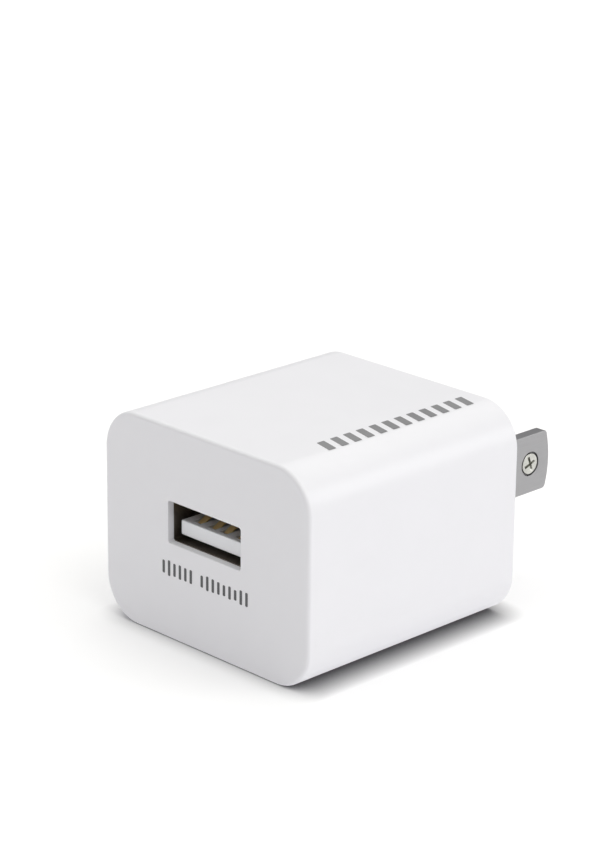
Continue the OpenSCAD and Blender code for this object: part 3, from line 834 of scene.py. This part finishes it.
def make_tongue():
    """The socket's tongue, with a soft front edge and a groove for each contact."""
    low, high = node_box("usb_tongue")
    piece = piece_from("socket_tongue", soft_block(low, high, edge=0.14), smooth_angle=40)
    groove_half, groove_depth, front, past = 0.62, 0.95, 0.5, 1.0
    cutters = []
    for n in range(1, 5):
        beam_low, beam_high = node_box(f"contact_beam_{n}")
        x = (beam_low.x + beam_high.x) / 2
        cutters.append(
            soft_block(
                (x - groove_half, beam_low.y - front, high.z - groove_depth),
                (x + groove_half, high.y + past, high.z + past),
                edge=0.1,
            )
        )
    carve(piece, cutters, smooth_angle=40)
    even_shading(piece)
    return place(piece, SOCKET_PLASTIC, "socket_plastic", "usb_tongue")


def smooth_path(points, steps):
    """A Catmull-Rom curve through 2D points."""
    ends = [points[0], *points, points[-1]]
    path = []
    for a, b, c, d in zip(ends, ends[1:], ends[2:], ends[3:]):
        for k in range(steps):
            t = k / steps
            weights = (
                -0.5 * t**3 + t**2 - 0.5 * t,
                1.5 * t**3 - 2.5 * t**2 + 1,
                -1.5 * t**3 + 2 * t**2 + 0.5 * t,
                0.5 * t**3 - 0.5 * t**2,
            )
            path.append(tuple(sum(w * p[i] for w, p in zip(weights, (a, b, c, d))) for i in (0, 1)))
    return path + [points[-1]]


def ribbon(path, x, width, thickness):
    """A strip of sheet metal of X width round a path in Y and Z, with rounded edges and ends."""
    rings = []
    for k, (y, z) in enumerate(path):
        before, after = path[max(k - 1, 0)], path[min(k + 1, len(path) - 1)]
        run = Vector((after[0] - before[0], after[1] - before[1])).normalized()
        section = rounded_rect(width, thickness, thickness * 0.45, steps=3)
        rings.append(
            [Vector((x + across, y - run.y * up, z + run.x * up)) for across, up in section]
        )
    return loft(rings)


def make_contact(n):
    """A contact's flexing arm, which rises out of its groove to a rounded crest."""
    low, high = node_box(f"contact_beam_{n}")
    thickness, root_z, tip_drop = 0.2, 0.95, 0.66
    half = thickness / 2
    crest_z, lowest_z = high.z - half, low.z + half
    root_y, tip_y = high.y - half, low.y + half
    points = [
        (root_y, root_z),
        (root_y - 1.4, root_z + 0.26),
        (root_y - 4.2, crest_z - 0.12),
        (root_y - 5.2, crest_z),
        (root_y - 5.9, crest_z - 0.16),
        (tip_y, max(crest_z - tip_drop, lowest_z)),
    ]
    bm = ribbon(smooth_path(points, 6), (low.x + high.x) / 2, high.x - low.x, thickness)
    piece = piece_from(f"contact_arm_{n}", bm, smooth_angle=50)
    return place(piece, CONTACT_GOLD, "gold_contact", f"contact_beam_{n}", body=f"contact_{n}")


# ---------------------------------------------------------------- printed bars


def bar_row_inputs(tree):
    """Names the sizes that a row of bars is made from, in metres."""
    counts = {"Count": 10, "Gap at": -1, "Seed": 0}
    sizes = {
        "Pitch": 0.002,
        "Bar width": 0.001,
        "Bar height": 0.002,
        "Slant": 0.0,
        "Corner": 0.0001,
        "Thickness": 0.00002,
        "Shortest": 1.0,
    }
    for kind, defaults in (("NodeSocketInt", counts), (FLOAT, sizes)):
        for label, default in defaults.items():
            socket = tree.interface.new_socket(label, in_out="INPUT", socket_type=kind)
            socket.default_value = default
    tree.interface.new_socket("Ink", in_out="INPUT", socket_type="NodeSocketMaterial")


def one_bar(tree, given):
    """A closed flat bar on z = 0, slanted and with rounded corners."""
    outline = add_node(
        tree,
        "GeometryNodeCurvePrimitiveQuadrilateral",
        {"Width": given["Bar width"], "Height": given["Bar height"], "Offset": given["Slant"]},
        mode="PARALLELOGRAM",
    )
    rounded = add_node(
        tree,
        "GeometryNodeFilletCurve",
        {"Curve": outline.outputs["Curve"], "Radius": given["Corner"], "Count": 5},
        mode="POLY",
    )
    face = add_node(
        tree, "GeometryNodeFillCurve", {"Curve": rounded.outputs["Curve"]}, mode="NGONS"
    )
    raised = add_node(
        tree,
        "GeometryNodeExtrudeMesh",
        {"Mesh": face.outputs["Mesh"], "Offset Scale": given["Thickness"], "Individual": False},
    )
    underside = add_node(tree, "GeometryNodeFlipFaces", {"Mesh": face.outputs["Mesh"]})
    both = add_node(tree, "GeometryNodeJoinGeometry")
    for part in (raised, underside):
        tree.links.new(part.outputs["Mesh"], both.inputs["Geometry"])
    closed = add_node(
        tree,
        "GeometryNodeMergeByDistance",
        {"Geometry": both.outputs["Geometry"], "Distance": 1e-6},
    )
    return closed.outputs["Geometry"]


def make_bar_row_tree():
    """A row of bars along +X that stand up +Y, of mixed heights where the shortest is under 1."""
    tree = bpy.data.node_groups.new("bar_row", "GeometryNodeTree")
    tree.interface.new_socket("Geometry", in_out="OUTPUT", socket_type="NodeSocketGeometry")
    bar_row_inputs(tree)
    given = tree.nodes.new("NodeGroupInput").outputs
    step = add_node(tree, "ShaderNodeCombineXYZ", {"X": given["Pitch"]})
    row = add_node(
        tree, "GeometryNodeMeshLine", {"Count": given["Count"], "Offset": step.outputs["Vector"]}
    )
    index = add_node(tree, "GeometryNodeInputIndex")
    present = add_node(
        tree,
        "FunctionNodeCompare",
        {"A": index.outputs["Index"], "B": given["Gap at"]},
        data_type="INT",
        operation="NOT_EQUAL",
    )
    varied = add_node(
        tree,
        "FunctionNodeRandomValue",
        {"Min": given["Shortest"], "Max": 1.0, "Seed": given["Seed"]},
        data_type="FLOAT",
    )
    growth = add_node(
        tree, "ShaderNodeCombineXYZ", {"X": 1.0, "Y": varied.outputs["Value"], "Z": 1.0}
    )
    copies = add_node(
        tree,
        "GeometryNodeInstanceOnPoints",
        {
            "Points": row.outputs["Mesh"],
            "Selection": present.outputs["Result"],
            "Instance": one_bar(tree, given),
            "Scale": growth.outputs["Vector"],
        },
    )
    real = add_node(
        tree, "GeometryNodeRealizeInstances", {"Geometry": copies.outputs["Instances"]}
    )
    inked = add_node(
        tree,
        "GeometryNodeSetMaterial",
        {"Geometry": real.outputs["Geometry"], "Material": given["Ink"]},
    )
    add_node(tree, "NodeGroupOutput", {"Geometry": inked.outputs["Geometry"]})
    return tree


def grown(name, tree, **values):
    """Runs a geometry tree once and returns its result as a plain mesh piece."""
    holder = bpy.data.objects.new(name + "_maker", bpy.data.meshes.new(name + "_maker"))
    bpy.context.scene.collection.objects.link(holder)
    modifier = holder.modifiers.new("maker", "NODES")
    modifier.node_group = tree
    sockets = {s.name: s.identifier for s in tree.interface.items_tree if s.in_out == "INPUT"}
    for label, value in values.items():
        modifier[sockets[label.replace("_", " ").capitalize()]] = value
    mesh = solid_mesh(holder)
    bpy.data.objects.remove(holder)
    piece = bpy.data.objects.new(name, mesh)
    bpy.context.scene.collection.objects.link(piece)
    return piece


PRINT_T = 0.015
PRINT_SUNK = 0.002


def make_front_print(tree):
    """Two groups of plain upright bars of mixed heights below the socket."""
    count, pitch, middle_x, middle_z = 16, 0.955, 0.15, -4.4
    piece = grown(
        "front_print",
        tree,
        count=count,
        gap_at=6,
        seed=5,
        shortest=0.62,
        pitch=pitch * MM,
        bar_width=0.42 * MM,
        bar_height=2.0 * MM,
        slant=0.0,
        corner=0.16 * MM,
        thickness=PRINT_T * MM,
        ink=FRONT_INK,
    )
    start = Vector((middle_x - pitch * (count - 1) / 2, FRONT_Y + PRINT_SUNK, middle_z)) * MM
    piece.data.transform(Matrix.Translation(start) @ TO_XZ)
    return place(piece, FRONT_INK, None)


def make_top_print(tree):
    """Plain slanted bars along the top, near the right edge."""
    piece = grown(
        "top_print",
        tree,
        count=12,
        pitch=2.12 * MM,
        bar_width=1.15 * MM,
        bar_height=2.75 * MM,
        slant=0.7 * MM,
        corner=0.12 * MM,
        thickness=PRINT_T * MM,
        ink=TOP_INK,
    )
    start = Vector((11.35, -26.3, CASE_H / 2 - PRINT_SUNK)) * MM
    piece.data.transform(Matrix.Translation(start) @ Matrix.Rotation(math.radians(90), 4, "Z"))
    return place(piece, TOP_INK, None)


# ---------------------------------------------------------------- floor, light and camera

FLOOR_HALF_SIZE = 4000
FLOOR_WHITE = (0.88, 0.88, 0.88, 1)
FLOOR_GLOW_COLOUR = (0.95, 0.93, 1.0, 1)
# how far the floor's painted contact shadow reaches, and which way its occlusion leans
SHADE_REACH = 3.4
SHADE_LEAN = (-0.2, -0.45, 0.87)

AMBIENT = 0.275
# parts of the dome that are brighter or dimmer: towards, by how much
LOBES = (
    ((0, 0, 1), 1.645),
    ((0, -0.6, 0.8), -0.33),
    ((-1, 0, 0.35), 0.069),
    ((0, -1, 0.35), -0.33),
    ((1, 0, 0.35), -0.05),
    ((0, 1, 0.35), -0.156),
    ((0.68, 0.66, 0.3), -0.33),
)
SIDE_TINT, TOP_TINT = (0.925, 0.915, 1.0, 1), (1.0, 1.0, 0.945, 1)
# broad lamps: where they stand, strength, and width in degrees
LAMPS = {
    "high_right_lamp": ((0.7, 0.0, 0.7), 0.704, 50),
    "rear_right_lamp": ((0.68, 0.66, 0.28), 0.611, 30),
}


def floor_finish(glow, lift):
    """White with a painted contact shadow: it darkens close under the case, for the camera only. Reflected
    and bounced light sees it evenly bright, and the floor glows a little of its own to light the case.
    """
    material = bpy.data.materials.new("floor_white")
    material.use_nodes = True
    tree = material.node_tree
    shader = tree.nodes["Principled BSDF"]
    shader.inputs["Roughness"].default_value = 0.9
    shader.inputs["Specular IOR Level"].default_value = 0.0
    shader.inputs["Emission Color"].default_value = FLOOR_GLOW_COLOUR
    lean = add_node(tree, "ShaderNodeCombineXYZ", enumerate(SHADE_LEAN))
    painted_contact_shadow = add_node(
        tree,
        "ShaderNodeAmbientOcclusion",
        {"Distance": SHADE_REACH * MM, "Normal": lean.outputs["Vector"]},
    )
    open_sky = painted_contact_shadow.outputs["AO"]
    seen = tree.nodes.new("ShaderNodeLightPath").outputs["Is Camera Ray"]
    # camera rays see the painted shadow, other rays see plain white
    shade = mix(tree, seen, 1.0, open_sky)
    white = mix(tree, shade, (0, 0, 0, 1), FLOOR_WHITE, kind="RGBA")
    feed(tree, shader.inputs["Base Color"], white)
    own_light = mix(tree, seen, glow, maths(tree, "MULTIPLY", open_sky, lift))
    feed(tree, shader.inputs["Emission Strength"], own_light)
    below = tree.nodes.new("ShaderNodeNewGeometry").outputs["Backfacing"]
    clear = tree.nodes.new("ShaderNodeBsdfTransparent").outputs["BSDF"]
    sides = add_node(
        tree, "ShaderNodeMixShader", {0: below, 1: shader.outputs["BSDF"], 2: clear}
    )
    feed(tree, tree.nodes["Material Output"].inputs["Surface"], sides.outputs["Shader"])
    return material


def make_floor():
    """A white floor with a painted contact shadow, that can't be seen from below."""
    bm = bmesh.new()
    level = Matrix.Translation((0, 0, -CASE_H / 2))
    bmesh.ops.create_grid(bm, x_segments=1, y_segments=1, size=FLOOR_HALF_SIZE, matrix=level)
    floor = piece_from("floor", bm)
    floor.data.materials.append(floor_finish(glow=0.185, lift=0.085))


def make_dome():
    """A soft surround that is brighter or dimmer towards some directions, and never below black."""
    world = bpy.data.worlds.new("dome")
    bpy.context.scene.world = world
    world.use_nodes = True
    tree = world.node_tree
    direction = tree.nodes.new("ShaderNodeTexCoord").outputs["Generated"]
    level = AMBIENT
    for towards, strength in LOBES:
        inputs = {0: direction, 1: Vector(towards).normalized()}
        facing = add_node(tree, "ShaderNodeVectorMath", inputs, operation="DOT_PRODUCT")
        lobe = map_range(
            tree, facing.outputs["Value"], (0.0, 1.0), (0.0, strength), "SMOOTHSTEP"
        )
        level = maths(tree, "ADD", level, lobe)
    split = add_node(tree, "ShaderNodeSeparateXYZ", {"Vector": direction})
    background = tree.nodes["Background"]
    feed(tree, background.inputs["Strength"], maths(tree, "MAXIMUM", level, 0.0))
    tint = mix(tree, split.outputs["Z"], SIDE_TINT, TOP_TINT, kind="RGBA")
    feed(tree, background.inputs["Color"], tint)


def make_lamps():
    """The broad lamps on the right."""
    for name, (stands, strength, width) in LAMPS.items():
        lamp = bpy.data.lights.new(name, "SUN")
        lamp.energy = strength
        lamp.angle = math.radians(width)
        holder = bpy.data.objects.new(name, lamp)
        bpy.context.scene.collection.objects.link(holder)
        holder.rotation_euler = Vector(stands).to_track_quat("Z", "Y").to_euler()


def make_camera():
    """Looks down on the socket end's right corner."""
    target = Vector((-3.342, -16.109, 9.627)) * MM
    azimuth, elevation, roll = (math.radians(a) for a in (45.4295, 19.2178, 0.579))
    distance = 344.33 * MM
    sensor, lens = 36.0, 120.26574
    level = math.cos(elevation)
    back = Vector((math.sin(azimuth) * level, -math.cos(azimuth) * level, math.sin(elevation)))
    camera = bpy.data.cameras.new("camera")
    camera.sensor_width = sensor
    camera.lens = lens
    camera.clip_start, camera.clip_end = 0.01, 20
    holder = bpy.data.objects.new("camera", camera)
    bpy.context.scene.collection.objects.link(holder)
    turn = back.to_track_quat("Z", "Y").to_matrix().to_4x4() @ Matrix.Rotation(roll, 4, "Z")
    holder.matrix_world = Matrix.Translation(target + back * distance) @ turn
    bpy.context.scene.camera = holder


# ---------------------------------------------------------------- making it all

make_camera()
make_dome()
make_lamps()
make_floor()
finish_kept_nodes()
make_case()
make_rear_plate()
for side in BLADE_SIDES:
    make_blade(side)
    make_insert(side)
make_tongue()
for n in range(1, 5):
    make_contact(n)
bar_row = make_bar_row_tree()
make_front_print(bar_row)
make_top_print(bar_row)

bpy.context.scene.view_settings.view_transform = "Standard"
